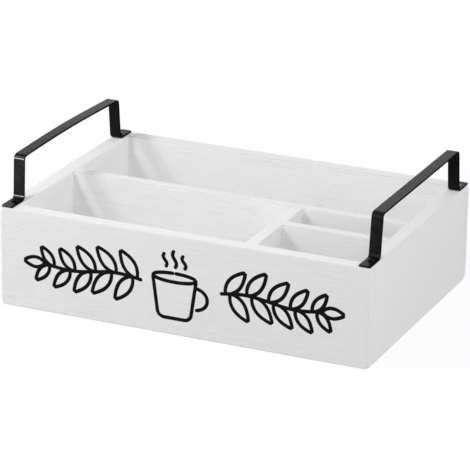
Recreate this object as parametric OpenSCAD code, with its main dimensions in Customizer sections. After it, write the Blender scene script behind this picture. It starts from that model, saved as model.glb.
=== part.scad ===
// Counter-top organizer: a low painted wooden box with four compartments
// and a bent steel strap handle over each end.
// Origin: middle of the underside. X runs left to right, Y front to back, Z up.
// All sizes are in millimetres.

/* [Case boards] */
// Length of the box, left to right
case_l = 390; // [320:1:460]
// Depth of the box, front to back
case_d = 270; // [220:1:320]
// Height of the case boards
case_h = 101.5; // [80:0.5:130]
// Thickness of the case boards
case_t = 15; // [12:0.5:18]
// Radius that eases the boards' open edges
edge_r = 1; // [0.4:0.1:1.6]

/* [Bottom panel] */
// Thickness of the bottom panel
panel_t = 5; // [3:0.5:8]
// Width of the rabbet that the panel sits in
rabbet_w = 7; // [5:0.5:8]
// Gap between the panel's edge and the rabbet, on each side
panel_clear = 0.3; // [0.1:0.05:0.6]

/* [Dividers] */
// Thickness of the three dividers
divider_t = 12; // [9:0.5:15]
// How far the dividers' tops stay below the case boards' tops
divider_drop = 0.5; // [0:0.1:3]
// Clear depth of the compartments in front of the long divider
front_bay_d = 114; // [90:0.5:130]
// Clear length of the front left compartment
left_bay_l = 240.5; // [200:0.5:260]
// Clear depth of the front right compartment
right_bay_d = 62; // [45:0.5:75]

/* [Handles] */
// Width of the steel strap
strap_w = 12; // [9:0.1:14]
// Thickness of the steel strap
strap_t = 2; // [1.2:0.1:2.5]
// Height of the bar's top above the case boards
handle_rise = 45; // [35:0.5:60]
// Length of a foot, from its tip to the corner under the riser
foot_l = 26; // [24:0.5:32]
// How far the handles stand outwards from the middle of the end boards
handle_out = 1; // [0:0.1:1.5]
// How far a riser leans inwards on its way up
riser_lean = 4.8; // [2:0.2:8]
// Inner radius of the strap's bends
bend_r = 3.5; // [1.5:0.1:4]
// Distance from the front or back of the case to a foot's tip
foot_inset = 1.6; // [0.5:0.1:3]
// Radius of the corners at a foot's tip
tip_r = 1.2; // [0.6:0.1:2]

/* [Handle screws] */
// Distance from a foot's tip to its screw
screw_from_tip = 16.5; // [15.5:0.1:17.5]
// Diameter of the screw's pan head
head_d = 7.2; // [6:0.1:8]
// Height of the screw's pan head
head_h = 2.2; // [1.6:0.1:2.6]
// Height of the straight rim under the head's dome
rim_h = 0.7; // [0.4:0.1:1]
// Outer diameter of the screw's thread
screw_d = 3.5; // [3:0.1:4]
// Length of the screw under its head
screw_l = 18; // [14:1:20]
// Length of the screw's point
point_l = 4; // [3:0.5:5]
// Diameter at the end of the screw's point
screw_tip_d = 0.7; // [0.4:0.1:1]
// Gap between the screw and the hole in the strap
strap_hole_clear = 0.25; // [0.1:0.05:0.4]
// Width of the slots in the head's cross recess
cross_w = 1; // [0.8:0.1:1.3]
// Span of the head's cross recess
cross_span = 4.2; // [3.4:0.1:4.8]
// Depth of the head's cross recess
cross_depth = 1.2; // [0.8:0.1:1.4]
// Turn at which the cross recess comes to rest
cross_turn = 20; // [0:5:85]

/* [Brads] */
// Diameter of a brad
brad_d = 1.4; // [1.2:0.1:1.8]
// Diameter of a brad's head
brad_head_d = 2.4; // [2:0.1:3]
// Height of a brad's head
brad_head_h = 0.8; // [0.5:0.1:1.2]
// Length of the brads that hold the boards and dividers
brad_l = 32; // [28:1:38]
// Length of the brads that hold the bottom panel
panel_brad_l = 18; // [14:1:19]
// Length of a brad's point
brad_point_l = 2; // [1.5:0.1:3]
// Diameter at the end of a brad's point
brad_tip_d = 0.5; // [0.3:0.1:0.8]
// How far a brad's head is driven below a board's face
brad_set = 1; // [0.6:0.1:1.6]
// How far a brad's head is driven into the panel's underside
panel_brad_set = 0.4; // [0.2:0.1:0.8]
// Height of the lowest level brads above the underside
brad_low = 24; // [22:1:30]
// Distance of the highest level brads below the case boards' tops
brad_high = 26; // [24:1:32]
// Gap around a screw or brad in the wood
wood_fit = 0.02; // [0.01:0.01:0.05]

/* [Hidden] */
$fn = 48;

WOOD = [0.93, 0.93, 0.925];
BLACK = [0.09, 0.09, 0.095];
STEEL = [0.62, 0.62, 0.64];

// A little more, so that a cut runs clear of the surface it starts at
over = 1;

// Inside faces of the case, and what the dividers leave between them
inner_x = case_l / 2 - case_t;
inner_y = case_d / 2 - case_t;
divider_top = case_h - divider_drop;
long_front_y = -inner_y + front_bay_d;
long_mid_y = long_front_y + divider_t / 2;
cross_left_x = -inner_x + left_bay_l;
cross_right_x = cross_left_x + divider_t;
cross_mid_x = cross_left_x + divider_t / 2;
small_front_y = -inner_y + right_bay_d;
small_mid_y = small_front_y + divider_t / 2;

// The bottom panel and its rabbet
rabbet_l = 2 * (inner_x + rabbet_w);
rabbet_d = 2 * (inner_y + rabbet_w);
panel_l = rabbet_l - 2 * panel_clear;
panel_d = rabbet_d - 2 * panel_clear;

// Middle of the end boards, and of the handles that stand on them
board_x = case_l / 2 - case_t / 2;
handle_x = board_x + handle_out;
handle_span = case_d - 2 * foot_inset;
screw_y = handle_span / 2 - screw_from_tip;
screw_seat_z = case_h + strap_t;

// Heights of the rows of brads that run level through the boards
corner_rows = 3;
end_rows = 2;
brad_span = case_h - brad_high - brad_low;

// Places of the brads that go up through the bottom panel
rim_x = inner_x + rabbet_w / 2;
rim_y = inner_y + rabbet_w / 2;
rim_end = 30;
rim_front_count = 4;
rim_side_count = 3;
divider_end = 25;

function row_z(i, rows) = brad_low + brad_span * i / (rows - 1);
function along(low, high, i, count) = low + (high - low) * i / (count - 1);

// A flat rectangle with a circle at each corner named in round
module eased_rect(w, h, r, round = [true, true, true, true]) {
    corners = [[-1, -1], [1, -1], [1, 1], [-1, 1]];
    difference() {
        square([w, h], center = true);
        for (i = [0 : 3])
            if (round[i])
                translate([corners[i][0] * (w / 2 - r), corners[i][1] * (h / 2 - r)])
                    difference() {
                        square(2 * (r + over), center = true);
                        circle(r);
                        translate([-corners[i][0] * (r + over), 0])
                            square(2 * (r + over), center = true);
                        translate([0, -corners[i][1] * (r + over)])
                            square(2 * (r + over), center = true);
                    }
    }
}

// A brad that points along +Z, with the top of its head at the origin
module brad(length, gap = 0) {
    color(STEEL) {
        cylinder(d = brad_head_d + 2 * gap, h = brad_head_h);
        cylinder(d = brad_d + 2 * gap, h = length - brad_point_l);
        translate([0, 0, length - brad_point_l])
            cylinder(d1 = brad_d + 2 * gap, d2 = brad_tip_d + 2 * gap, h = brad_point_l);
    }
}

// Rows of level brads, driven in from the outer face along the turn given
module level_brads(x, y, turn, rows, gap = 0) {
    for (i = [0 : rows - 1])
        translate([x, y, row_z(i, rows)])
            rotate([0, 0, turn])
                rotate([0, 90, 0])
                    translate([0, 0, brad_set])
                        brad(brad_l, gap);
}

// side is -1 for the left end and 1 for the right end
module corner_brads(side, back, gap = 0) {
    level_brads(side * board_x, back * case_d / 2, -90 * back, corner_rows, gap);
}

module long_divider_brads(side, gap = 0) {
    level_brads(side * case_l / 2, long_mid_y, side < 0 ? 0 : 180, end_rows, gap);
}

module cross_front_brads(gap = 0) {
    level_brads(cross_mid_x, -case_d / 2, 90, end_rows, gap);
}

module cross_rear_brads(gap = 0) {
    level_brads(cross_mid_x, long_front_y + divider_t, -90, end_rows, gap);
}

module small_right_brads(gap = 0) {
    level_brads(case_l / 2, small_mid_y, 180, end_rows, gap);
}

module small_left_brads(gap = 0) {
    level_brads(cross_left_x, small_mid_y, 0, end_rows, gap);
}

// An upright brad, driven in from the underside
module upright_brad(x, y, gap = 0) {
    translate([x, y, panel_brad_set])
        brad(panel_brad_l, gap);
}

// Places of the brads that go up into the case boards and the dividers
rim_spots = [
    for (side = [-1, 1], i = [0 : rim_front_count - 1])
        [along(rim_end - inner_x, inner_x - rim_end, i, rim_front_count), side * rim_y],
    for (side = [-1, 1], i = [0 : rim_side_count - 1])
        [side * rim_x, along(rim_end - inner_y, inner_y - rim_end, i, rim_side_count)]
];
divider_spots = [
    for (i = [0 : rim_front_count - 1])
        [along(divider_end - inner_x, inner_x - divider_end, i, rim_front_count), long_mid_y],
    for (y = [divider_end - inner_y, long_front_y - divider_end])
        [cross_mid_x, y],
    for (x = [cross_right_x + divider_end, inner_x - divider_end])
        [x, small_mid_y]
];

module rim_brads(gap = 0) {
    for (spot = rim_spots)
        upright_brad(spot[0], spot[1], gap);
}

module divider_foot_brads(gap = 0) {
    for (spot = divider_spots)
        upright_brad(spot[0], spot[1], gap);
}

// The pocket that the four boards' rabbets make for the bottom panel
module rabbet() {
    translate([-rabbet_l / 2, -rabbet_d / 2, -over])
        cube([rabbet_l, rabbet_d, panel_t + over]);
}

// A board across the full width, with its outer face at the front
module wide_board() {
    translate([0, -case_d / 2 + case_t / 2, case_h / 2])
        intersection() {
            rotate([90, 0, 90])
                linear_extrude(case_l, center = true)
                    eased_rect(case_t, case_h, edge_r);
            linear_extrude(case_h, center = true)
                eased_rect(case_l, case_t, edge_r, [true, true, false, false]);
            rotate([90, 0, 0])
                linear_extrude(case_t, center = true)
                    eased_rect(case_l, case_h, edge_r);
        }
}

// A board that fits between the front and back boards, at the left end
module end_board() {
    translate([-board_x, 0, case_h / 2])
        rotate([90, 0, 0])
            linear_extrude(2 * inner_y, center = true)
                eased_rect(case_t, case_h, edge_r);
}

module front_board() {
    color(WOOD)
        difference() {
            wide_board();
            rabbet();
            corner_brads(-1, -1, wood_fit);
            corner_brads(1, -1, wood_fit);
            cross_front_brads(wood_fit);
            rim_brads(wood_fit);
        }
}

module back_board() {
    color(WOOD)
        difference() {
            mirror([0, 1, 0])
                wide_board();
            rabbet();
            corner_brads(-1, 1, wood_fit);
            corner_brads(1, 1, wood_fit);
            rim_brads(wood_fit);
        }
}

module left_end_board() {
    color(WOOD)
        difference() {
            end_board();
            rabbet();
            corner_brads(-1, -1, wood_fit);
            corner_brads(-1, 1, wood_fit);
            long_divider_brads(-1, wood_fit);
            rim_brads(wood_fit);
            handle_screw(-1, -1, wood_fit);
            handle_screw(-1, 1, wood_fit);
        }
}

module right_end_board() {
    color(WOOD)
        difference() {
            mirror([1, 0, 0])
                end_board();
            rabbet();
            corner_brads(1, -1, wood_fit);
            corner_brads(1, 1, wood_fit);
            long_divider_brads(1, wood_fit);
            small_right_brads(wood_fit);
            rim_brads(wood_fit);
            handle_screw(1, -1, wood_fit);
            handle_screw(1, 1, wood_fit);
        }
}

module bottom_panel() {
    color(WOOD)
        difference() {
            translate([-panel_l / 2, -panel_d / 2, 0])
                cube([panel_l, panel_d, panel_t]);
            rim_brads(wood_fit);
            divider_foot_brads(wood_fit);
            for (spot = concat(rim_spots, divider_spots))
                translate([spot[0], spot[1], -over])
                    cylinder(d = brad_head_d + 2 * wood_fit, h = over + panel_brad_set + wood_fit);
        }
}

// A divider's section, with its two top edges eased
module divider_section() {
    translate([0, (panel_t + divider_top) / 2])
        eased_rect(divider_t, divider_top - panel_t, edge_r, [false, false, true, true]);
}

module divider_along_x(x_low, x_high, y_mid) {
    translate([x_low, y_mid, 0])
        rotate([90, 0, 90])
            linear_extrude(x_high - x_low)
                divider_section();
}

module long_divider() {
    color(WOOD)
        difference() {
            divider_along_x(-inner_x, inner_x, long_mid_y);
            long_divider_brads(-1, wood_fit);
            long_divider_brads(1, wood_fit);
            cross_rear_brads(wood_fit);
            divider_foot_brads(wood_fit);
        }
}

module cross_divider() {
    color(WOOD)
        difference() {
            translate([cross_mid_x, long_front_y, 0])
                rotate([90, 0, 0])
                    linear_extrude(front_bay_d)
                        divider_section();
            cross_front_brads(wood_fit);
            cross_rear_brads(wood_fit);
            small_left_brads(wood_fit);
            divider_foot_brads(wood_fit);
        }
}

module small_divider() {
    color(WOOD)
        difference() {
            divider_along_x(cross_right_x, inner_x, small_mid_y);
            small_left_brads(wood_fit);
            small_right_brads(wood_fit);
            divider_foot_brads(wood_fit);
        }
}

// The strap's middle line in side view: tip, corner under the riser, corner over it
tip_y = -handle_span / 2;
low_y = tip_y + foot_l;
low_z = strap_t / 2;
high_y = low_y + riser_lean;
high_z = handle_rise - strap_t / 2;
riser_angle = atan2(high_z - low_z, riser_lean);
mid_r = bend_r + strap_t / 2;
bend_run = mid_r * tan(riser_angle / 2);
low_bend = [low_y - bend_run, low_z + mid_r];
high_bend = [high_y + bend_run, high_z - mid_r];
bend_steps = 10;

function arc(centre, r, from, to) = [
    for (i = [0 : bend_steps])
        centre + r * [cos(along(from, to, i, bend_steps + 1)), sin(along(from, to, i, bend_steps + 1))]
];
function strap_face(low_r, high_r) = concat(
    arc(low_bend, low_r, -90, riser_angle - 90),
    arc(high_bend, high_r, riser_angle + 90, 90)
);
function reversed(points) = [for (i = [len(points) - 1 : -1 : 0]) points[i]];
function mirrored(points) = [for (p = reversed(points)) [-p[0], p[1]]];
function whole(half) = concat(half, mirrored(half));

// The strap's side view, bent four times
module strap_outline() {
    under = whole(concat([[tip_y, 0]], strap_face(bend_r + strap_t, bend_r)));
    upper = whole(concat([[tip_y, strap_t]], strap_face(bend_r, bend_r + strap_t)));
    polygon(concat(under, reversed(upper)));
}

// side is -1 for the left end and 1 for the right end
module handle(side) {
    color(BLACK) difference() {
        translate([side * handle_x, 0, case_h])
            intersection() {
                rotate([90, 0, 90])
                    linear_extrude(strap_w, center = true)
                        strap_outline();
                translate([0, 0, -over])
                    linear_extrude(handle_rise + 2 * over)
                        eased_rect(strap_w, handle_span, tip_r);
            }
        for (back = [-1, 1])
            translate([side * handle_x, back * screw_y, case_h - over])
                cylinder(d = screw_d + 2 * strap_hole_clear, h = strap_t + 2 * over);
    }
}

// Radius of the dome that rises from the rim of the screw's head to its top
dome_h = head_h - rim_h;
dome_r = (pow(head_d / 2, 2) + pow(dome_h, 2)) / (2 * dome_h);

// A pan-head screw that points down, with its head's seat on the strap
module handle_screw(side, back, gap = 0) {
    color(BLACK) translate([side * handle_x, back * screw_y, screw_seat_z]) {
        difference() {
            intersection() {
                cylinder(d = head_d, h = head_h);
                translate([0, 0, head_h - dome_r])
                    sphere(dome_r);
            }
            for (turn = [0, 90])
                rotate([0, 0, turn + cross_turn])
                    translate([-cross_span / 2, -cross_w / 2, head_h - cross_depth])
                        cube([cross_span, cross_w, cross_depth + over]);
        }
        translate([0, 0, point_l - screw_l])
            cylinder(d = screw_d + 2 * gap, h = screw_l - point_l);
        translate([0, 0, -screw_l])
            cylinder(d1 = screw_tip_d + 2 * gap, d2 = screw_d + 2 * gap, h = point_l);
    }
}

front_board();
back_board();
left_end_board();
right_end_board();
bottom_panel();
long_divider();
cross_divider();
small_divider();
handle(-1);  // left_handle
handle(1);  // right_handle
handle_screw(-1, -1);  // left_front_screw
handle_screw(-1, 1);  // left_rear_screw
handle_screw(1, -1);  // right_front_screw
handle_screw(1, 1);  // right_rear_screw
corner_brads(-1, -1);  // front_left_corner_brads
corner_brads(1, -1);  // front_right_corner_brads
corner_brads(-1, 1);  // back_left_corner_brads
corner_brads(1, 1);  // back_right_corner_brads
long_divider_brads(-1);  // long_divider_left_brads
long_divider_brads(1);  // long_divider_right_brads
cross_front_brads();  // cross_divider_front_brads
cross_rear_brads();  // cross_divider_rear_brads
small_left_brads();  // small_divider_left_brads
small_right_brads();  // small_divider_right_brads
rim_brads();  // panel_rim_brads
divider_foot_brads();  // panel_divider_brads
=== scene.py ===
import itertools
import math
import random

import bmesh
import bpy
from mathutils import Matrix, Vector, noise


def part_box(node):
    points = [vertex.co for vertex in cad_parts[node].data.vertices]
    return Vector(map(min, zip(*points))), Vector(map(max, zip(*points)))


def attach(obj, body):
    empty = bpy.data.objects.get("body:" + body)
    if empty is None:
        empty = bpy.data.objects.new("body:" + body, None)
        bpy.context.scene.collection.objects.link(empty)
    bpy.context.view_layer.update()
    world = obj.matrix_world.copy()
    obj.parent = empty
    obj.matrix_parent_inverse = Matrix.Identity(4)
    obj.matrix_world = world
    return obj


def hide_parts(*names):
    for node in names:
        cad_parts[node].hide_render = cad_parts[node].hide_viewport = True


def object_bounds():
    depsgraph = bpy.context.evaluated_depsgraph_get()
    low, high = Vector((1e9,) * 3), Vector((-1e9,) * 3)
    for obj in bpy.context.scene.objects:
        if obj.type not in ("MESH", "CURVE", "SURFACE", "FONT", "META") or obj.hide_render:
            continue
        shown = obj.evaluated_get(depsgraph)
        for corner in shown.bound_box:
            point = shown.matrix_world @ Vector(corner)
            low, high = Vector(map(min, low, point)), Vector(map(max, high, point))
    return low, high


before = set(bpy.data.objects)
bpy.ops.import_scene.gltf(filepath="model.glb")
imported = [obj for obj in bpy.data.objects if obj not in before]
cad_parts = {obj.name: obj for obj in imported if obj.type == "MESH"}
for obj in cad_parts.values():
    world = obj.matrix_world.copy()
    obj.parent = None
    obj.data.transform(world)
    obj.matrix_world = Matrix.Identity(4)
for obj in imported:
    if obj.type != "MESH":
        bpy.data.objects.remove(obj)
cad_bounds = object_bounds()

# All lengths are in metres, in the model's own frame.
MM = 0.001

# Camera, solved from the corners of the box in the photograph
VIEW_AZIMUTH = math.radians(23.843)
VIEW_ELEVATION = math.radians(20.153)
VIEW_ROLL = math.radians(0.820)
VIEW_DISTANCE = 3.0105
VIEW_RIGHT = 1.607 * MM
VIEW_UP = -55.81 * MM
SENSOR_WIDTH = 36.0
LENS = 229.32

# Paint: as it lies over most of the wood, where it is thin, and on the eased edges, where it is darker: partly
# rubbed off, partly painted shade that damps the highlight of the edges
PAINT = (0.895, 0.895, 0.897)
PAINT_THIN = (0.80, 0.798, 0.795)
PAINT_WORN_AND_SHADED = (0.68, 0.678, 0.67)

# Grain: the size of each pattern along the grain and across it
BANDS = (160 * MM, 8 * MM)
LINES = (38 * MM, 1.2 * MM)
FIBRES = (18 * MM, 0.7 * MM)
PORES = (12 * MM, 0.9 * MM)
# Patches of the darker paint on the eased edges, which is partly wear and partly painted shade
EDGE_DARK_PATCHES = (12 * MM, 5 * MM)
CLOUD = 42 * MM
# How far the grain wanders, and over what run
GRAIN_SWAY = 9 * MM
GRAIN_SWAY_RUN = 75 * MM
# How much of the thin paint shows in the furrows, the pits and the clouds
THIN_FURROWS = 0.6
THIN_PITS = 0.18
THIN_CLOUDS = 0.04
# Heights in the grain's relief, as shares of a furrow's depth
BAND_RELIEF = 0.35
FIBRE_RELIEF = 0.3
PIT_RELIEF = 0.35
GRAIN_BUMP = 0.8
GRAIN_DEPTH = 0.07 * MM
# How strongly the grain shows on the end boards
LEFT_END_COARSE = 0.5
RIGHT_END_COARSE = 0.3

# Boards
EDGE_R = 1.0 * MM
EDGE_STEPS = 4
CELL = 7.0 * MM
# Distances of the first two cuts from each edge, and the size below which a board has only two cuts
EDGE_CUTS = (2.2 * MM, 4.5 * MM)
THIN_BOARD = 20 * MM
# Darker paint of the lower and inner edges, and the share of the easing over which it fades out. The darker
# paint on eased edges is partly wear, partly painted shade that damps their highlight
LEAST_EDGE_DARKNESS = 0.15
EDGE_DARKNESS_FADE = 0.38
# How far an outer corner is knocked back, and how far from it that is felt
KNOCK = 1.8 * MM
KNOCK_REACH = 7.0 * MM
# Unevenness of the edges and of the faces: height and run, and the reach of the edges' part
EDGE_WAVER = 0.10 * MM
EDGE_WAVER_RUN = 14 * MM
EDGE_WAVER_REACH = 3 * MM
FACE_SWELL = 0.06 * MM
FACE_SWELL_RUN = 70 * MM
FACE_INSET = 0.04 * MM

# Straps, in the sizes of the construction
STRAP_T = 2.0 * MM
FOOT_L = 26.0 * MM
RISER_LEAN = 4.8 * MM
BEND_R = 3.5 * MM
TIP_R = 1.2 * MM
STRAP_EDGE_R = 0.5 * MM
# Unevenness of the left strap: the arch of its bar, and how far the bar's front end stands out
LEFT_BAR_BOW = 2.0 * MM
LEFT_BAR_SKEW = -1.7 * MM
# Sides of the section's outline that belong to the strap's narrow, sheared sides
SHEARED = (0, 1, 2, 6, 7, 8, 9, 10, 11, 12, 16, 17, 18, 19)

# Screws: head
HEAD_D = 7.2 * MM
HEAD_H = 2.2 * MM
HEAD_SEAT_EASE = 0.15 * MM
HEAD_SIDE_H = 0.55 * MM
HEAD_RIM_R = 0.9 * MM
# Screws: cross recess, with the shares of its span and width that are left at its floor
CROSS_W = 1.0 * MM
CROSS_SPAN = 4.2 * MM
CROSS_DEPTH = 1.2 * MM
CROSS_TURN = math.radians(20)
CROSS_FLOOR_SPAN = 0.45
CROSS_FLOOR_W = 0.6
# Screws: shank, with its core and point as shares of the thread's size
SCREW_D = 3.5 * MM
SCREW_CORE = 0.68
THREAD_PITCH = 1.4 * MM
THREAD_CREST = 0.28
POINT_L = 4.0 * MM
POINT_TIP = 0.12

# Drawing on the front: line
STROKE_W = 3.8 * MM
STROKE_PROUD = 0.16 * MM
STROKE_SUNK = 0.25 * MM
STROKE_FOOT = 0.9
STROKE_CELL = 2.2 * MM
STROKE_LOOK = 0.8 * MM
STROKE_WAVER = 0.05
STROKE_WAVER_RUN = 9 * MM
STROKE_LEAST = 0.05 * MM
# Drawing on the front: mug and steam
MUG_X = -6 * MM
MUG_FOOT_Z = 17 * MM
MUG_H = 42 * MM
MUG_W = 46 * MM
MUG_FOOT_W = 36 * MM
MUG_CORNER_R = 7 * MM
MUG_RIM_H = 4.5 * MM
MUG_EAR_W = 14 * MM
MUG_EAR_SUNK = 2 * MM
MUG_EAR_Z = 0.56
MUG_EAR_H = 0.27
STEAM_RISE = 5 * MM
STEAM_GAP = 10 * MM
STEAM_H = 15 * MM
STEAM_MIDDLE = 1.25
STEAM_SWAY = 2.2 * MM
# Drawing on the front: sprigs
SPRIG_L = 106 * MM
SPRIG_LEFT_X = -40 * MM
SPRIG_RIGHT_X = 42 * MM
STEM_SWAY = 3 * MM
LEAF_PAIRS = 5
LEAF_START = 6 * MM
LEAF_STOP = 10 * MM
LEAF_STAGGER = 5 * MM
LEAF_ANGLE = 52
LEAF_L = 33 * MM
LEAF_W = 13 * MM
LEAF_SHRINK = 0.28
LEAF_BELLY = 0.85
LEAF_FULLNESS = 0.9
LEAF_ANGLE_WOBBLE = 4
LEAF_L_WOBBLE = 1
END_LEAF_L = 0.7
END_LEAF_W = 0.8
DRAWING_SEED = 7

# Light of the world on surfaces, apart from the white that is seen directly
FILL = 0.225
# Grey of the floor where it throws light back, and where it is seen
FLOOR_RADIUS = 6.0
FLOOR_BOUNCE = 0.4
FLOOR_SEEN = 0.85
# Share of plain white in the floor that is seen, near the object and far from it
WHITE_NEAR = 0.91
WHITE_FAR = 1.0
NEAR_REACH = 0.25
FAR_REACH = 0.60

# Lamps: place, target, size across and power in watts
LAMPS = {
    "key": ((-0.79, -0.76, 1.19), (0, 0, 0.08), 0.36, 9.6),
    "front_left": ((-0.7, -1.0, 0.6), (0, 0, 0.05), 0.8, 2.9),
    "front": ((0.75, -1.5, 1.3), (0, 0, 0.05), 1.4, 10.8),
    "right": ((1.6, -0.2, 0.7), (0, 0, 0.05), 1.2, 10.9),
    "low_back": ((0.3, 2.0, 0.35), (0, 0, 0.05), 1.0, 16.0),
    "low_left": ((-2.0, 0.1, 0.35), (0, 0, 0.05), 1.0, 16.0),
}
# A small lamp that only the straps receive, for the glints in their bends
GLINT = ((-0.56, -0.98, 0.41), (-0.18, -0.1, 0.12), 0.12, 38.0)


# Small helpers

def link(name, bm):
    """A new object with the mesh that bm holds."""
    mesh = bpy.data.meshes.new(name)
    bm.to_mesh(mesh)
    bm.free()
    piece = bpy.data.objects.new(name, mesh)
    bpy.context.scene.collection.objects.link(piece)
    return piece


def soften(piece, sharp_angle=math.radians(40)):
    """Smooth shading that keeps flat faces flat and square edges sharp."""
    bm = bmesh.new()
    bm.from_mesh(piece.data)
    for edge in bm.edges:
        if len(edge.link_faces) == 2:
            edge.smooth = edge.calc_face_angle() < sharp_angle
    for face in bm.faces:
        face.smooth = True
    bm.to_mesh(piece.data)
    bm.free()
    weighted = piece.modifiers.new("flat_faces", "WEIGHTED_NORMAL")
    weighted.keep_sharp = True
    weighted.weight = 60


def dress(piece, material, slot, *nodes):
    """Gives a finished piece its material, and puts it in place of CAD nodes. The slot is not used."""
    piece.data.materials.append(material)
    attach(piece, "root")
    if nodes:
        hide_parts(*nodes)


def redress(node, material):
    """Gives a CAD node that stays as it is a new material."""
    node.data.materials.clear()
    node.data.materials.append(material)


def hash_of(text):
    """A steady number for a name."""
    return sum((i + 1) * ord(letter) for i, letter in enumerate(text)) % 97


def arc_points(centre, radius, start, end, steps):
    """Points on an arc, from one angle to another."""
    angles = [start + (end - start) * i / steps for i in range(steps + 1)]
    return [centre + radius * Vector((math.cos(a), math.sin(a))) for a in angles]


def ellipse_points(centre, half_w, half_h, start, end, steps):
    """Points on an ellipse, from one angle to another, in degrees."""
    angles = [math.radians(start + (end - start) * i / steps) for i in range(steps + 1)]
    return [centre + Vector((half_w * math.cos(a), half_h * math.sin(a))) for a in angles]


def drawn_in(from_end, radius):
    """How far an outline with an end of that radius has drawn in, at a distance from the end."""
    if from_end >= radius:
        return 0.0
    return radius - math.sqrt(max(0.0, radius ** 2 - (radius - from_end) ** 2))


def bridge(bm, rings):
    """Joins closed rings of as many points, one after the other. Gives back (face, side) pairs."""
    made = []
    for one, two in zip(rings, rings[1:]):
        count = len(one)
        for i in range(count):
            j = (i + 1) % count
            made.append((bm.faces.new((one[i], one[j], two[j], two[i])), i))
    return made


def cap(bm, rings):
    """Closes both ends of a row of rings. Gives back the two faces."""
    return bm.faces.new(rings[0]), bm.faces.new(list(reversed(rings[-1])))


# Shader nodes

def new_material(name):
    """A new material, with its node tree and its shader."""
    material = bpy.data.materials.new(name)
    material.use_nodes = True
    tree = material.node_tree
    shader = tree.nodes["Principled BSDF"]
    return material, tree, shader


def add_node(tree, kind, inputs=None, **settings):
    """A new node, with its settings, and with a link or a value in each input named."""
    node = tree.nodes.new(kind)
    for key, value in settings.items():
        setattr(node, key, value)
    for key, value in (inputs or {}).items():
        if isinstance(value, bpy.types.NodeSocket):
            tree.links.new(value, node.inputs[key])
        else:
            node.inputs[key].default_value = value
    return node


def stretched(tree, grain, along, across, shift, vector=None):
    """Coordinates for a pattern of the size along on the grain's axis and across on the others."""
    if vector is None:
        vector = add_node(tree, "ShaderNodeTexCoord").outputs["Object"]
    scale = [1 / along if axis == grain else 1 / across for axis in "xyz"]
    place = (shift, shift * 1.7, shift * 2.3)
    mapping = add_node(tree, "ShaderNodeMapping", {"Vector": vector, "Location": place, "Scale": scale})
    return mapping.outputs["Vector"]


def meandering(tree, sway, run, shift):
    """Object coordinates that wander by up to about half of sway over each run."""
    place = add_node(tree, "ShaderNodeTexCoord").outputs["Object"]
    drift = add_node(
        tree, "ShaderNodeTexNoise",
        {"Vector": stretched(tree, "", 1.0, run, shift), "Scale": 1.0, "Detail": 1.0, "Roughness": 0.5},
    ).outputs["Color"]
    drift = add_node(tree, "ShaderNodeVectorMath", {0: drift, "Scale": sway}, operation="SCALE")
    moved = add_node(tree, "ShaderNodeVectorMath", {0: place, 1: drift.outputs["Vector"]}, operation="ADD")
    return moved.outputs["Vector"]


def noise_of(tree, vector, detail, roughness):
    """Noise from 0 to 1, mostly near 0.5."""
    inputs = {"Vector": vector, "Scale": 1.0, "Detail": detail, "Roughness": roughness, "Distortion": 0.0}
    return add_node(tree, "ShaderNodeTexNoise", inputs).outputs["Fac"]


def mapped(tree, value, low, high, new_low, new_high):
    """A value's range from low to high put on a new range."""
    inputs = {"Value": value, "From Min": low, "From Max": high, "To Min": new_low, "To Max": new_high}
    return add_node(tree, "ShaderNodeMapRange", inputs).outputs["Result"]


def math_of(tree, operation, a, b):
    return add_node(tree, "ShaderNodeMath", {0: a, 1: b}, operation=operation).outputs["Value"]


def mixed(tree, factor, one, two):
    """One colour where factor is 0, and the other where it is 1."""
    inputs = {"Factor": factor, 6: one, 7: two}
    return add_node(tree, "ShaderNodeMix", inputs, data_type="RGBA").outputs[2]


def bumped(tree, shader, height, strength, distance):
    """Puts a relief on the shader."""
    inputs = {"Height": height, "Strength": strength, "Distance": distance}
    bump = add_node(tree, "ShaderNodeBump", inputs)
    tree.links.new(bump.outputs["Normal"], shader.inputs["Normal"])


# Materials

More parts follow.
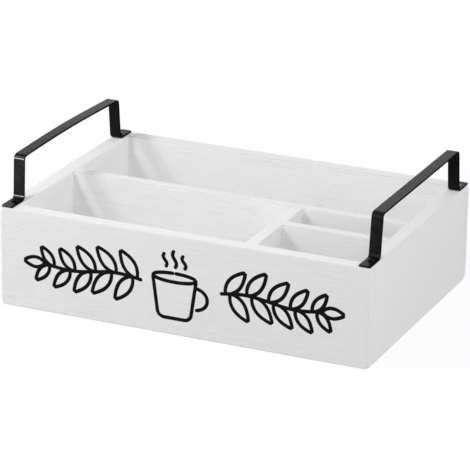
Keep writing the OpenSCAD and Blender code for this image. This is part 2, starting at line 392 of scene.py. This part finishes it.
def painted_wood(name, grain, seed, coarse=1.0):
    """Thin satin paint over planed softwood: the combed lines of the grain show through, and the eased edges
    have darker paint, partly wear and partly painted shade that damps their highlight.
    """
    material, tree, shader = new_material(name)
    wander = meandering(tree, GRAIN_SWAY, GRAIN_SWAY_RUN, seed + 5)
    bands = noise_of(tree, stretched(tree, grain, *BANDS, seed, wander), 2.0, 0.5)
    lines = noise_of(tree, stretched(tree, grain, *LINES, seed + 11, wander), 2.0, 0.5)
    fibres = noise_of(tree, stretched(tree, grain, *FIBRES, seed + 23, wander), 3.0, 0.6)
    pores = noise_of(tree, stretched(tree, grain, *PORES, seed + 37, wander), 2.0, 0.5)
    clouds = noise_of(tree, stretched(tree, "", 1.0, CLOUD, seed + 51), 2.0, 0.5)

    depth = mapped(tree, clouds, 0.35, 0.65, 0.5, 1.0)
    furrows = math_of(tree, "MULTIPLY", mapped(tree, lines, 0.60, 0.36, 0, 1), depth)
    pits = mapped(tree, pores, 0.60, 0.72, 0, 1)
    height = math_of(tree, "SUBTRACT", mapped(tree, bands, 0.3, 0.7, 0, BAND_RELIEF), furrows)
    height = math_of(tree, "ADD", height, mapped(tree, fibres, 0.3, 0.7, 0, FIBRE_RELIEF))
    height = math_of(tree, "SUBTRACT", height, math_of(tree, "MULTIPLY", pits, PIT_RELIEF))

    thin = math_of(tree, "MULTIPLY", furrows, THIN_FURROWS * coarse)
    thin = math_of(tree, "ADD", thin, math_of(tree, "MULTIPLY", pits, THIN_PITS))
    thin = math_of(tree, "ADD", thin, mapped(tree, clouds, 0.35, 0.7, THIN_CLOUDS, 0))
    even = mixed(tree, thin, (*PAINT, 1), (*PAINT_THIN, 1))

    # Darker paint on the eased edges: painted shade that damps their highlight, and partly wear
    edge = add_node(tree, "ShaderNodeAttribute", attribute_name="edge").outputs["Fac"]
    dark_patches = noise_of(tree, stretched(tree, grain, *EDGE_DARK_PATCHES, seed + 67), 3.0, 0.6)
    wear_and_shade = math_of(tree, "MULTIPLY", edge, mapped(tree, dark_patches, 0.36, 0.64, 0.8, 1.0))
    colour = mixed(tree, wear_and_shade, even, (*PAINT_WORN_AND_SHADED, 1))
    tree.links.new(colour, shader.inputs["Base Color"])
    tree.links.new(mapped(tree, fibres, 0.3, 0.7, 0.46, 0.60), shader.inputs["Roughness"])
    bumped(tree, shader, height, GRAIN_BUMP, GRAIN_DEPTH * coarse)
    return material


def powder_coat(name, colour, roughness, ior):
    """Black powder coat on steel, with its fine orange peel."""
    material, tree, shader = new_material(name)
    peel = noise_of(tree, stretched(tree, "", 1.0, 0.7 * MM, 3.0), 3.0, 0.6)
    mottle = noise_of(tree, stretched(tree, "", 1.0, 9 * MM, 8.0), 3.0, 0.6)
    sheen = mapped(tree, mottle, 0.3, 0.7, roughness - 0.05, roughness + 0.07)
    shader.inputs["Base Color"].default_value = (*colour, 1)
    shader.inputs["IOR"].default_value = ior
    tree.links.new(sheen, shader.inputs["Roughness"])
    bumped(tree, shader, peel, 0.3, 0.05 * MM)
    return material


def marker_black(name):
    """Matte black paint, a little uneven where the brush dragged over the grain."""
    material, tree, shader = new_material(name)
    drag = noise_of(tree, stretched(tree, "x", 30 * MM, 1.2 * MM, 5.0), 4.0, 0.6)
    bare = mapped(tree, drag, 0.45, 0.75, 0, 1)
    colour = mixed(tree, bare, (0.004, 0.004, 0.004, 1), (0.010, 0.010, 0.010, 1))
    tree.links.new(colour, shader.inputs["Base Color"])
    shader.inputs["Roughness"].default_value = 0.8
    shader.inputs["IOR"].default_value = 1.15
    bumped(tree, shader, drag, 0.3, 0.08 * MM)
    return material


def bright_steel(name):
    """Plain steel wire of the brads, drawn lengthwise."""
    material, tree, shader = new_material(name)
    drawn = noise_of(tree, stretched(tree, "", 1.0, 0.4 * MM, 2.0), 3.0, 0.6)
    shader.inputs["Base Color"].default_value = (0.42, 0.42, 0.43, 1)
    shader.inputs["Metallic"].default_value = 1.0
    tree.links.new(mapped(tree, drawn, 0.3, 0.7, 0.28, 0.45), shader.inputs["Roughness"])
    bumped(tree, shader, drawn, 0.2, 0.03 * MM)
    return material


# Boards

def eased_front(run, centre):
    return not (run == "z" and centre.y > 0)


def eased_back(run, centre):
    return not (run == "z" and centre.y < 0)


def eased_end(run, centre):
    return run == "y"


def eased_along_x(run, centre):
    return run == "x" and centre.z > 0


def eased_along_y(run, centre):
    return run == "y" and centre.z > 0


def edge_darkness_of(run, centre):
    """How dark the paint of an eased edge is: the most on the upper edges, partly as wear where hands and cups
    rub, partly as painted shade that damps the highlight these edges catch.
    """
    upper = centre.z > (cad_bounds[0].z + cad_bounds[1].z) / 2
    outer = abs(centre.x) > cad_bounds[1].x - EDGE_R
    return 1.0 if upper and (run == 0 or run == 1 and outer) else LEAST_EDGE_DARKNESS


def edge_darkness(point, darkened_edges):
    """How dark the paint is at a point of a board, as painted shade and partly wear: as its eased edge is, and
    0 beyond the easing.
    """
    most = 0.0
    for run, centre, amount in darkened_edges:
        gap = max(abs(point[i] - centre[i]) for i in range(3) if i != run)
        share = min(1.0, max(0.0, 1 - gap / EDGE_R) / EDGE_DARKNESS_FADE)
        most = max(most, share * amount)
    return most


def edge_nearness(point, low, high, reach):
    """1 on a box's edge, falling to 0 at a distance of reach from it."""
    gaps = sorted(max(0.0, min(point[i] - low[i], high[i] - point[i])) for i in range(3))
    return max(0.0, 1 - gaps[1] / reach)


def outer_corners(darkened_edges, middle):
    """The corners where three eased edges meet."""
    corners = []
    for signs in itertools.product((-1, 1), repeat=3):
        meeting = {
            run: centre for run, centre, amount in darkened_edges
            if all((centre - middle)[i] * signs[i] > 0 for i in range(3) if i != run)
        }
        if len(meeting) == 3:
            corners.append(Vector((meeting[1].x, meeting[0].y, meeting[0].z)))
    return corners


def corner_wear(point, corners):
    """How far a point near an outer corner is knocked back."""
    nearest = min(((point - corner).length for corner in corners), default=KNOCK_REACH)
    return KNOCK * max(0.0, 1 - nearest / KNOCK_REACH) ** 2


def block(low, high):
    """A plain block between two corners."""
    bm = bmesh.new()
    bmesh.ops.create_cube(bm, size=1.0)
    bmesh.ops.scale(bm, vec=high - low, verts=bm.verts)
    bmesh.ops.translate(bm, vec=(low + high) / 2, verts=bm.verts)
    return bm


def ease_edges(bm, middle, eased):
    """Rounds the edges that eased picks. Gives back each one's run, middle and darkness of paint, which is
    partly wear and partly painted shade.
    """
    chosen = []
    darkened_edges = []
    for edge in bm.edges:
        centre = (edge.verts[0].co + edge.verts[1].co) / 2
        run = max(range(3), key=lambda i: abs(edge.verts[0].co[i] - edge.verts[1].co[i]))
        if eased("xyz"[run], centre - middle):
            chosen.append(edge)
            darkened_edges.append((run, centre.copy(), edge_darkness_of(run, centre)))
    bmesh.ops.bevel(bm, geom=chosen, offset=EDGE_R, segments=EDGE_STEPS, profile=0.5, affect="EDGES")
    return darkened_edges


def cuts(low, high):
    """Places of the cuts across a board: two close to each edge, the others evenly spread."""
    if high - low < THIN_BOARD:
        third = (high - low) / 3
        return [low + third, high - third]
    outer, inner = EDGE_CUTS
    inner_low, inner_high = low + inner, high - inner
    count = max(1, round((inner_high - inner_low) / CELL))
    between = [inner_low + (inner_high - inner_low) * i / count for i in range(1, count)]
    return [low + outer, inner_low, inner_high, high - outer] + between


def cut_across(bm, low, high):
    """Cuts a board's faces into cells along all three axes."""
    for axis in range(3):
        direction = Vector((axis == 0, axis == 1, axis == 2))
        for place in cuts(low[axis], high[axis]):
            geometry = bm.verts[:] + bm.edges[:] + bm.faces[:]
            bmesh.ops.bisect_plane(bm, geom=geometry, plane_co=direction * place, plane_no=direction, dist=1e-7)


def weather(bm, low, high, darkened_edges, start):
    """Makes a board's edges and faces a little uneven, and notes where its eased edges have darker paint:
    partly wear, partly painted shade.
    """
    bm.normal_update()
    middle = (low + high) / 2
    offset = Vector((start, 0, 0))
    corners = outer_corners(darkened_edges, middle)
    moves = []
    for vert in bm.verts:
        near = edge_nearness(vert.co, low, high, EDGE_WAVER_REACH)
        waver = noise.noise(vert.co / EDGE_WAVER_RUN + offset) * EDGE_WAVER * near
        swell = noise.noise(vert.co / FACE_SWELL_RUN + offset) * FACE_SWELL
        knock = (middle - vert.co).normalized() * corner_wear(vert.co, corners)
        moves.append(vert.normal * (waver + swell - FACE_INSET) + knock)
    # Darker paint on the eased edges, partly wear and partly painted shade
    wear_and_shade = bm.verts.layers.float.new("edge")
    for vert, move in zip(bm.verts, moves):
        vert[wear_and_shade] = edge_darkness(vert.co, darkened_edges)
        vert.co += move


def board(node, eased, material):
    """A painted board in place of a CAD one, with eased, slightly uneven edges."""
    low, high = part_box(node)
    bm = block(low, high)
    darkened_edges = ease_edges(bm, (low + high) / 2, eased)
    cut_across(bm, low, high)
    weather(bm, low, high, darkened_edges, hash_of(node))
    piece = link(node + "_painted", bm)
    soften(piece)
    dress(piece, material, "white_paint", node)


def make_boards():
    grain_x = [
        painted_wood("painted_wood_" + name, "x", seed)
        for name, seed in (("front", 1.0), ("back", 4.0), ("long_divider", 7.0), ("small_divider", 9.0))
    ]
    left_wood = painted_wood("painted_wood_left_end", "y", 13.0, LEFT_END_COARSE)
    right_wood = painted_wood("painted_wood_right_end", "y", 17.0, RIGHT_END_COARSE)
    cross_wood = painted_wood("painted_wood_cross", "y", 21.0)
    board("front_board", eased_front, grain_x[0])
    board("back_board", eased_back, grain_x[1])
    board("left_end_board", eased_end, left_wood)
    board("right_end_board", eased_end, right_wood)
    board("long_divider", eased_along_x, grain_x[2])
    board("cross_divider", eased_along_y, cross_wood)
    board("small_divider", eased_along_x, grain_x[3])
    redress(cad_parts["bottom_panel"], painted_wood("painted_panel", "x", 27.0))


# Straps

def strap_line(span, rise, bow):
    """The strap's middle line in side view, from one tip to the other, as (y, z) points."""
    tip_y = -span / 2
    low_y = tip_y + FOOT_L
    low_z = STRAP_T / 2
    high_y = low_y + RISER_LEAN
    high_z = rise - STRAP_T / 2
    angle = math.atan2(high_z - low_z, RISER_LEAN)
    radius = BEND_R + STRAP_T / 2
    run = radius * math.tan(angle / 2)
    quarter = math.pi / 2
    low_centre = Vector((low_y - run, low_z + radius))
    high_centre = Vector((high_y + run, high_z - radius))
    low_bend = arc_points(low_centre, radius, -quarter, angle - quarter, 12)
    high_bend = arc_points(high_centre, radius, angle + quarter, quarter, 12)
    tip = [Vector((tip_y + TIP_R * (1 - math.cos(quarter * i / 5)), low_z)) for i in range(6)]
    foot = [tip[-1].lerp(low_bend[0], i / 6) for i in range(1, 6)]
    riser = [low_bend[-1].lerp(high_bend[0], i / 9) for i in range(1, 9)]
    bar = [high_bend[-1].lerp(Vector((0, high_z)), i / 14) for i in range(1, 15)]
    for point in bar:
        point.y += bow * math.cos(quarter * point.x / high_bend[-1].x)
    half = tip + foot + low_bend + riser + high_bend + bar
    return half + [Vector((-p.x, p.y)) for p in reversed(half[:-1])]


def skew_share(point, span, rise):
    """How far a point of the line goes with the bar's front end: 1 at its front bend, 0 at the feet."""
    half_bar = span / 2 - FOOT_L - RISER_LEAN
    frontness = min(1.0, max(0.0, (1 - point.x / half_bar) / 2))
    return frontness * point.y / rise


def rounded_section(width, thickness, radius, steps=4):
    """A flat bar's section, counter-clockwise, as (across, out) points."""
    radius = min(radius, thickness * 0.49, width * 0.49)
    points = []
    for sx, sy, start in ((1, 1, 0), (-1, 1, 90), (-1, -1, 180), (1, -1, 270)):
        centre = Vector((sx * (width / 2 - radius), sy * (thickness / 2 - radius)))
        points += arc_points(centre, radius, math.radians(start), math.radians(start + 90), steps)
    return points


def strap_section(width, from_end):
    """The strap's section, drawn in where it nears a tip."""
    narrow = drawn_in(from_end, TIP_R)
    thin = drawn_in(from_end, STRAP_EDGE_R)
    return rounded_section(width - 2 * narrow, STRAP_T - 2 * thin, STRAP_EDGE_R - thin * 0.9)


def strap(name, node, coat, sheared, bow=0.0, skew=0.0):
    """A strap bent along its line. Bow arches its bar, and skew moves the bar's front end along X."""
    low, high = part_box(node)
    span = high.y - low.y
    rise = high.z - low.z
    line = strap_line(span, rise, bow)
    bm = bmesh.new()
    rings = []
    for i, point in enumerate(line):
        before = line[max(i - 1, 0)]
        after = line[min(i + 1, len(line) - 1)]
        tangent = (after - before).normalized()
        out = Vector((-tangent.y, tangent.x))
        x_here = (low.x + high.x) / 2 + skew * skew_share(point, span, rise)
        ring = []
        for across, away in strap_section(high.x - low.x, min(point.x - low.y, high.y - point.x)):
            side = point + out * away
            ring.append(bm.verts.new((x_here + across, side.x, low.z + side.y)))
        rings.append(ring)
    for face, side in bridge(bm, rings):
        face.material_index = int(side in SHEARED)
    for face in cap(bm, rings):
        face.material_index = 1
    bmesh.ops.recalc_face_normals(bm, faces=bm.faces)
    piece = link(name, bm)
    soften(piece, math.radians(50))
    dress(piece, coat, "black_strap", node)
    piece.data.materials.append(sheared)
    return piece


def make_straps():
    coat = powder_coat("black_powder_coat", (0.002, 0.002, 0.0023), 0.27, 1.18)
    sheared = powder_coat("black_powder_coat_sheared", (0.002, 0.002, 0.002), 0.65, 1.04)
    return [
        strap("left_handle_strap", "left_handle", coat, sheared, LEFT_BAR_BOW, LEFT_BAR_SKEW),
        strap("right_handle_strap", "right_handle", coat, sheared),
    ]


# Screws

def circle(bm, radius, z, steps):
    """A ring of points round Z, or a single point for a radius of 0."""
    if radius == 0:
        return [bm.verts.new((0, 0, z))]
    angles = [2 * math.pi * i / steps for i in range(steps)]
    return [bm.verts.new((radius * math.cos(a), radius * math.sin(a), z)) for a in angles]


def lathe(bm, profile, steps):
    """Turns (radius, z) points round Z. A first or last radius of 0 closes the end."""
    rings = [circle(bm, radius, z, steps) for radius, z in profile]
    for one, two in zip(rings, rings[1:]):
        for i in range(steps):
            j = (i + 1) % steps
            corners = [one[i % len(one)], one[j % len(one)], two[j % len(two)], two[i % len(two)]]
            bm.faces.new(list(dict.fromkeys(corners)))
    bmesh.ops.recalc_face_normals(bm, faces=bm.faces)


def head_profile():
    """Pan head: flat seat, softly rounded rim and a low dome."""
    radius = HEAD_D / 2
    angles = [math.radians(d) for d in (15, 30, 45, 60, 75)]
    side = [(0, 0), (radius - HEAD_SEAT_EASE, 0), (radius, HEAD_SEAT_EASE), (radius, HEAD_SIDE_H)]
    turn = [(radius - HEAD_RIM_R * (1 - math.cos(a)), HEAD_SIDE_H + HEAD_RIM_R * math.sin(a)) for a in angles]
    last_r, last_z = turn[-1]
    dome = [(last_r * math.cos(a), last_z + (HEAD_H - last_z) * math.sin(a)) for a in angles]
    return side + turn + dome + [(0, HEAD_H)]


def cross_cutter():
    """Two tapered blades that cut the cross recess."""
    bm = bmesh.new()
    for turn in (0, math.pi / 2):
        for vert in bmesh.ops.create_cube(bm, size=1.0)["verts"]:
            up = vert.co.z > 0
            vert.co.x *= CROSS_SPAN * (1.0 if up else CROSS_FLOOR_SPAN)
            vert.co.y *= CROSS_W * (1.0 if up else CROSS_FLOOR_W)
            vert.co.z = HEAD_H + 1 * MM if up else HEAD_H - CROSS_DEPTH
            vert.co = Matrix.Rotation(turn + CROSS_TURN, 3, "Z") @ vert.co
    return link("cross_cutter", bm)


def screw_head():
    """The mesh of a pan head with its cross recess."""
    bm = bmesh.new()
    lathe(bm, head_profile(), 48)
    head = link("screw_head", bm)
    cutter = cross_cutter()
    cut = head.modifiers.new("recess", "BOOLEAN")
    cut.operation = "DIFFERENCE"
    cut.solver = "EXACT"
    cut.use_self = True
    cut.object = cutter
    evaluated = head.evaluated_get(bpy.context.evaluated_depsgraph_get())
    mesh = bpy.data.meshes.new_from_object(evaluated)
    bpy.data.objects.remove(head)
    bpy.data.objects.remove(cutter)
    return mesh


def thread_radius(depth, turn, length):
    """The shank's radius at a depth below the seat and at a part of a turn."""
    phase = (depth / THREAD_PITCH - turn) % 1.0
    crest = max(0.0, 1 - abs(phase - 0.5) / THREAD_CREST)
    outer = SCREW_D / 2
    core = outer * SCREW_CORE
    if depth > length - POINT_L:
        share = POINT_TIP + (1 - POINT_TIP) * (length - depth) / POINT_L
        outer *= share
        core *= share
    return core + (outer - core) * crest


def screw_shank(bm, length, steps=20, rows=72):
    """A shank with a wood screw's thread, from the seat down to the point."""
    rings = []
    for row in range(rows + 1):
        depth = length * row / rows
        ring = []
        for i in range(steps):
            turn = i / steps
            radius = thread_radius(depth, turn, length)
            angle = 2 * math.pi * turn
            ring.append(bm.verts.new((radius * math.cos(angle), radius * math.sin(angle), -depth)))
        rings.append(ring)
    bridge(bm, rings)
    cap(bm, rings)


def screw(node, head_mesh, material):
    """A threaded screw in place of a CAD one."""
    low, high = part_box(node)
    seat = high.z - HEAD_H
    bm = bmesh.new()
    screw_shank(bm, seat - low.z)
    bmesh.ops.recalc_face_normals(bm, faces=bm.faces)
    bm.from_mesh(head_mesh)
    place = Vector(((low.x + high.x) / 2, (low.y + high.y) / 2, seat))
    bmesh.ops.translate(bm, vec=place, verts=bm.verts)
    piece = link(node + "_threaded", bm)
    soften(piece, math.radians(35))
    dress(piece, material, "black_screws", node)


def make_screws():
    head_mesh = screw_head()
    material = powder_coat("black_screw_finish", (0.002, 0.002, 0.0023), 0.25, 1.18)
    for node in ("left_front_screw", "left_rear_screw", "right_front_screw", "right_rear_screw"):
        screw(node, head_mesh, material)


def dress_brads():
    """Gives the brads, which are hidden in the wood, their steel."""
    steel = bright_steel("brad_steel")
    for name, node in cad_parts.items():
        if name.endswith("_brads"):
            redress(node, steel)


# Drawing on the front, in one line weight: a mug between two leafy sprigs

def along_line(points, lengths, distance):
    """The point of a line at a distance from its start. Lengths holds the distance of each point."""
    last = len(points) - 2
    i = next((i for i in range(last) if distance <= lengths[i + 1]), last)
    share = (distance - lengths[i]) / max(lengths[i + 1] - lengths[i], 1e-9)
    return points[i].lerp(points[i + 1], share)


def stroke_stops(total, radius):
    """Distances of a stroke's rings from its start, closer together in its round ends."""
    rounded = [radius * (1 - math.cos(math.pi / 2 * i / 5)) for i in range(6)]
    count = max(2, round((total - 2 * radius) / STROKE_CELL))
    body = [radius + (total - 2 * radius) * i / count for i in range(1, count)]
    return rounded + body + [total - stop for stop in reversed(rounded)]


def stroke_ring(bm, here, side, half, radius, front_y):
    """A ring across a stroke: a low dome in front, and its foot sunk into the board."""
    ring = []
    for i in range(7):
        u = -1 + 2 * i / 6
        place = here + side * half * u
        proud = STROKE_PROUD * math.sqrt(max(0.0, 1 - u * u)) * half / radius
        ring.append(bm.verts.new((place.x, front_y - proud, place.y)))
    for u in (1, -1):
        place = here + side * half * u * STROKE_FOOT
        ring.append(bm.verts.new((place.x, front_y + STROKE_SUNK, place.y)))
    return ring


def stroke(bm, points, front_y):
    """A brush stroke along (x, z) points: slightly domed, with round ends."""
    radius = STROKE_W / 2
    lengths = [0.0]
    for one, two in zip(points, points[1:]):
        lengths.append(lengths[-1] + (two - one).length)
    total = lengths[-1]
    rings = []
    for stop in stroke_stops(total, radius):
        here = along_line(points, lengths, stop)
        ahead = along_line(points, lengths, min(stop + STROKE_LOOK, total))
        behind = along_line(points, lengths, max(stop - STROKE_LOOK, 0))
        tangent = (ahead - behind).normalized()
        side = Vector((-tangent.y, tangent.x))
        from_end = min(stop, total - stop)
        half = radius
        if from_end < radius:
            half = math.sqrt(max(1e-12, radius ** 2 - (radius - from_end) ** 2))
        half *= 1 + STROKE_WAVER * noise.noise(Vector((here.x, 0, here.y)) / STROKE_WAVER_RUN)
        rings.append(stroke_ring(bm, here, side, max(half, STROKE_LEAST), radius, front_y))
    bridge(bm, rings)
    cap(bm, rings)


def mug_strokes(foot):
    """A mug in front view over the middle of its foot: body, rim, handle and steam."""
    rim = foot + Vector((0, MUG_H))
    corner = Vector((MUG_FOOT_W / 2 - MUG_CORNER_R, MUG_CORNER_R))
    right_half = ellipse_points(foot + corner, MUG_CORNER_R, MUG_CORNER_R, -90, -5, 6)
    right_half.append(rim + Vector((MUG_W / 2, 0)))
    left_half = [Vector((2 * foot.x - p.x, p.y)) for p in reversed(right_half)]
    strokes = [left_half + right_half, ellipse_points(rim, MUG_W / 2, MUG_RIM_H, 90, 450, 40)]
    ear = foot + Vector((MUG_W / 2 - MUG_EAR_SUNK, MUG_H * MUG_EAR_Z))
    strokes.append(ellipse_points(ear, MUG_EAR_W, MUG_H * MUG_EAR_H, 82, -86, 18))
    for shift in (-1, 0, 1):
        low = rim + Vector((shift * STEAM_GAP, MUG_RIM_H + STEAM_RISE))
        height = STEAM_H * (STEAM_MIDDLE if shift == 0 else 1.0)
        wave = [(STEAM_SWAY * math.sin(2 * math.pi * i / 12), height * i / 12) for i in range(13)]
        strokes.append([low + Vector(step) for step in wave])
    return strokes


def leaf_strokes(base, heading, length, width):
    """The two sides of a leaf, from its base outwards."""
    along = Vector((math.cos(heading), math.sin(heading)))
    across = Vector((-along.y, along.x))
    strokes = []
    for side in (1, -1):
        line = []
        for i in range(15):
            t = i / 14
            bulge = math.sin(math.pi * t ** LEAF_BELLY) ** LEAF_FULLNESS if 0 < t < 1 else 0
            line.append(base + along * length * t + across * side * width / 2 * bulge)
        strokes.append(line)
    return strokes


def sprig_strokes(root, side, wobble):
    """A stem with pairs of leaves, from its root outwards: to the right for a side of 1, or the left."""
    def stem_point(run):
        return root + Vector((side * run, STEM_SWAY * math.sin(run / SPRIG_L * 2 * math.pi)))

    strokes = [[stem_point(SPRIG_L * i / 40) for i in range(41)]]
    for i in range(LEAF_PAIRS):
        outness = i / (LEAF_PAIRS - 1)
        run = LEAF_START + (SPRIG_L - LEAF_START - LEAF_STOP) * outness
        shorter = 1 - LEAF_SHRINK * outness ** 2
        for up in (1, -1):
            base = stem_point(run + (0 if up > 0 else LEAF_STAGGER))
            heading = math.radians(up * (LEAF_ANGLE + wobble.uniform(-LEAF_ANGLE_WOBBLE, LEAF_ANGLE_WOBBLE)))
            if side < 0:
                heading = math.pi - heading
            length = LEAF_L * shorter + wobble.uniform(-LEAF_L_WOBBLE, LEAF_L_WOBBLE) * MM
            strokes += leaf_strokes(base, heading, length, LEAF_W * shorter)
    outwards = 0 if side > 0 else math.pi
    return strokes + leaf_strokes(stem_point(SPRIG_L), outwards, LEAF_L * END_LEAF_L, LEAF_W * END_LEAF_W)


def front_drawing(material):
    """All strokes of the drawing, on the face of the front board."""
    low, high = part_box("front_board")
    wobble = random.Random(DRAWING_SEED)
    lines = mug_strokes(Vector((MUG_X, MUG_FOOT_Z)))
    for side, root_x in ((1, SPRIG_RIGHT_X), (-1, SPRIG_LEFT_X)):
        lines += sprig_strokes(Vector((root_x, (low.z + high.z) / 2)), side, wobble)
    bm = bmesh.new()
    for line in lines:
        stroke(bm, line, low.y)
    bmesh.ops.recalc_face_normals(bm, faces=bm.faces)
    piece = link("front_drawing", bm)
    soften(piece, math.radians(60))
    dress(piece, material, "front_drawing")


# Stage

def make_camera():
    """The camera of the photograph."""
    back = Vector((
        math.sin(VIEW_AZIMUTH) * math.cos(VIEW_ELEVATION),
        -math.cos(VIEW_AZIMUTH) * math.cos(VIEW_ELEVATION),
        math.sin(VIEW_ELEVATION),
    ))
    level_right = Vector((math.cos(VIEW_AZIMUTH), math.sin(VIEW_AZIMUTH), 0))
    level_up = back.cross(level_right)
    right = level_right * math.cos(VIEW_ROLL) + level_up * math.sin(VIEW_ROLL)
    up = level_up * math.cos(VIEW_ROLL) - level_right * math.sin(VIEW_ROLL)
    place = back * VIEW_DISTANCE - right * VIEW_RIGHT - up * VIEW_UP
    data = bpy.data.cameras.new("camera")
    data.sensor_width = SENSOR_WIDTH
    data.lens = LENS
    data.clip_start = 0.01
    data.clip_end = 50
    camera = bpy.data.objects.new("camera", data)
    turn = Matrix((right, up, back)).transposed().to_4x4()
    camera.matrix_world = Matrix.Translation(place) @ turn
    bpy.context.scene.collection.objects.link(camera)
    bpy.context.scene.camera = camera


def seen_directly(tree):
    """1 for rays that the camera, glossy surfaces or glass send out."""
    path = add_node(tree, "ShaderNodeLightPath")
    either = math_of(tree, "MAXIMUM", path.outputs["Is Camera Ray"], path.outputs["Is Glossy Ray"])
    return math_of(tree, "MAXIMUM", either, path.outputs["Is Transmission Ray"])


def make_world():
    """White where it is seen directly, and a weaker fill on surfaces."""
    world = bpy.data.worlds.new("studio")
    bpy.context.scene.world = world
    world.use_nodes = True
    tree = world.node_tree
    background = tree.nodes["Background"]
    background.inputs["Color"].default_value = (1, 1, 1, 1)
    strength = mapped(tree, seen_directly(tree), 0, 1, FILL, 1.0)
    tree.links.new(strength, background.inputs["Strength"])


def make_floor():
    """A pale floor that keeps the object's shadow and turns white away from it."""
    bm = bmesh.new()
    bmesh.ops.create_circle(bm, cap_ends=True, segments=96, radius=FLOOR_RADIUS)
    floor = link("floor", bm)
    material = bpy.data.materials.new("pale_floor")
    material.use_nodes = True
    tree = material.node_tree
    tree.nodes.clear()
    grey = mapped(tree, seen_directly(tree), 0, 1, FLOOR_BOUNCE, FLOOR_SEEN)
    diffuse = add_node(tree, "ShaderNodeBsdfDiffuse", {"Color": grey})
    glow = add_node(tree, "ShaderNodeEmission", {"Color": (1, 1, 1, 1), "Strength": 1.0})
    place = add_node(tree, "ShaderNodeTexCoord").outputs["Object"]
    away = add_node(tree, "ShaderNodeVectorMath", {0: place}, operation="LENGTH").outputs["Value"]
    fade = mapped(tree, away, NEAR_REACH, FAR_REACH, WHITE_NEAR, WHITE_FAR)
    share = math_of(tree, "MULTIPLY", seen_directly(tree), fade)
    inputs = {"Fac": share, 1: diffuse.outputs["BSDF"], 2: glow.outputs["Emission"]}
    mix = add_node(tree, "ShaderNodeMixShader", inputs)
    output = add_node(tree, "ShaderNodeOutputMaterial")
    tree.links.new(mix.outputs["Shader"], output.inputs["Surface"])
    floor.data.materials.append(material)


def area_light(name, place, target, size, power):
    """A round lamp that faces its target."""
    data = bpy.data.lights.new(name, "AREA")
    data.shape = "DISK"
    data.size = size
    data.energy = power
    lamp = bpy.data.objects.new(name, data)
    direction = Vector(target) - Vector(place)
    turn = direction.to_track_quat("-Z", "Y").to_matrix().to_4x4()
    lamp.matrix_world = Matrix.Translation(place) @ turn
    bpy.context.scene.collection.objects.link(lamp)
    return lamp


def make_glint(receivers):
    """A lamp that only the pieces given receive."""
    glint = area_light("glint", *GLINT)
    glint.visible_diffuse = False
    lit = bpy.data.collections.new("glint_receivers")
    for piece in receivers:
        lit.objects.link(piece)
    glint.light_linking.receiver_collection = lit


make_camera()
make_world()
make_floor()
for name, values in LAMPS.items():
    area_light(name, *values)

make_boards()
make_glint(make_straps())
make_screws()
dress_brads()
front_drawing(marker_black("front_drawing_black"))

bpy.context.scene.view_settings.view_transform = "Standard"
